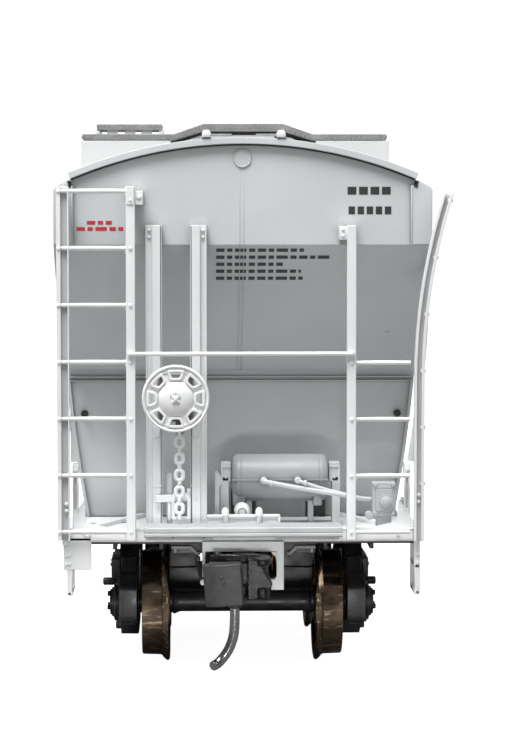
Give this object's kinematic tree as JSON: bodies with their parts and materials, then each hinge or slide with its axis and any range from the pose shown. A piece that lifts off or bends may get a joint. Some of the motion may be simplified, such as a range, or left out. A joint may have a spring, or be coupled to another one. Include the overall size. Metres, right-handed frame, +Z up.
{
  "type": "model hopper car",
  "caption": "HO scale covered hopper railway car with curved sides, roof walks, end ladders, hand brake wheel, swivelling trucks, turning wheelsets and swinging knuckle couplers.",
  "frame": {"origin": "under the middle of the car, level with the lowest points of the wheel flanges", "axes": "+Z up, +Y along the car towards the end without the hand brake, +X across the car"},
  "size_m": [0.0404, 0.21, 0.0536],
  "materials": {
    "white_plastic": "satin light grey painted styrene",
    "grating": "galvanised grey grating",
    "black_plastic": "satin black engineering plastic",
    "plated_wheel": "dark nickel plated, turned and polished",
    "coupler_metal": "satin dark grey",
    "dark_steel": "blackened steel",
    "trip_pin_steel": "polished dark steel",
    "bronze": "phosphor bronze strip"
  },
  "bodies": {
    "car": {"body_shell": "white_plastic", "roof": "white_plastic", "hatch_cover_1": "white_plastic", "hatch_cover_2": "white_plastic", "hatch_cover_3": "white_plastic", "underframe": "white_plastic", "outlet_gate_1": "white_plastic", "outlet_gate_2": "white_plastic", "outlet_gate_3": "white_plastic", "end_ladder_left_b": "white_plastic", "end_ladder_left_a": "white_plastic", "end_ladder_right_b": "white_plastic", "end_ladder_right_a": "white_plastic", "side_ladder_b": "white_plastic", "side_ladder_a": "white_plastic", "brake_stand": "white_plastic", "brake_housing": "white_plastic", "brake_chain": "white_plastic", "air_reservoir": "white_plastic", "reservoir_bracket": "white_plastic", "control_valve": "white_plastic", "reservoir_pipes": "white_plastic", "coupler_box_lid_b": "white_plastic", "coupler_box_lid_a": "white_plastic", "running_board_left": "grating", "running_board_right": "grating", "roof_crosswalk_b": "grating", "roof_crosswalk_a": "grating", "crossover_platform_b": "grating", "crossover_platform_a": "grating", "truck_screw_b": "dark_steel", "truck_screw_a": "dark_steel", "coupler_screw_b": "dark_steel", "coupler_screw_a": "dark_steel", "ballast_weight": "dark_steel", "coupler_spring_b": "bronze", "coupler_spring_a": "bronze"},
    "truck_b": {"truck_frame_b": "black_plastic"},
    "wheelset_b1": {"axle_b1": "black_plastic", "wheel_b1_left": "plated_wheel", "wheel_b1_right": "plated_wheel"},
    "wheelset_b2": {"axle_b2": "black_plastic", "wheel_b2_left": "plated_wheel", "wheel_b2_right": "plated_wheel"},
    "coupler_b": {"coupler_b": "coupler_metal", "knuckle_pin_b": "coupler_metal"},
    "knuckle_b": {"knuckle_b": "coupler_metal", "trip_pin_b": "trip_pin_steel"},
    "truck_a": {"truck_frame_a": "black_plastic"},
    "wheelset_a1": {"axle_a1": "black_plastic", "wheel_a1_left": "plated_wheel", "wheel_a1_right": "plated_wheel"},
    "wheelset_a2": {"axle_a2": "black_plastic", "wheel_a2_left": "plated_wheel", "wheel_a2_right": "plated_wheel"},
    "coupler_a": {"coupler_a": "coupler_metal", "knuckle_pin_a": "coupler_metal"},
    "knuckle_a": {"knuckle_a": "coupler_metal", "trip_pin_a": "trip_pin_steel"},
    "brake_wheel": {"brake_wheel": "white_plastic"}
  },
  "joints": [
    {"name": "truck_swivel_b", "type": "hinge", "parent": "car", "child": "truck_b", "pos_m": [0, -0.078, 0.0087], "axis": [0, 0, 1], "range_deg": [-10, 10]},
    {"name": "wheelset_spin_b1", "type": "hinge", "parent": "truck_b", "child": "wheelset_b1", "pos_m": [0, -0.0882, 0.00589], "axis": [1, 0, 0], "continuous": true},
    {"name": "wheelset_spin_b2", "type": "hinge", "parent": "truck_b", "child": "wheelset_b2", "pos_m": [0, -0.0678, 0.00589], "axis": [1, 0, 0], "continuous": true},
    {"name": "coupler_swing_b", "type": "hinge", "parent": "car", "child": "coupler_b", "pos_m": [0, -0.092, 0.0106], "axis": [0, 0, 1], "range_deg": [-10, 10], "stiffness_Nm_per_rad": 0.0005},
    {"name": "knuckle_swing_b", "type": "hinge", "parent": "coupler_b", "child": "knuckle_b", "pos_m": [-0.0026, -0.1017, 0.0106], "axis": [0, 0, -1], "range_deg": [0, 22], "stiffness_Nm_per_rad": 0.0003},
    {"name": "truck_swivel_a", "type": "hinge", "parent": "car", "child": "truck_a", "pos_m": [0, 0.078, 0.0087], "axis": [0, 0, 1], "range_deg": [-10, 10]},
    {"name": "wheelset_spin_a1", "type": "hinge", "parent": "truck_a", "child": "wheelset_a1", "pos_m": [0, 0.0882, 0.00589], "axis": [1, 0, 0], "continuous": true},
    {"name": "wheelset_spin_a2", "type": "hinge", "parent": "truck_a", "child": "wheelset_a2", "pos_m": [0, 0.0678, 0.00589], "axis": [1, 0, 0], "continuous": true},
    {"name": "coupler_swing_a", "type": "hinge", "parent": "car", "child": "coupler_a", "pos_m": [0, 0.092, 0.0106], "axis": [0, 0, 1], "range_deg": [-10, 10], "stiffness_Nm_per_rad": 0.0005},
    {"name": "knuckle_swing_a", "type": "hinge", "parent": "coupler_a", "child": "knuckle_a", "pos_m": [0.0026, 0.1017, 0.0106], "axis": [0, 0, -1], "range_deg": [0, 22], "stiffness_Nm_per_rad": 0.0003},
    {"name": "brake_wheel_turn", "type": "hinge", "parent": "car", "child": "brake_wheel", "pos_m": [-0.00655, -0.10035, 0.02735], "axis": [0, 1, 0], "continuous": true}
  ]
}
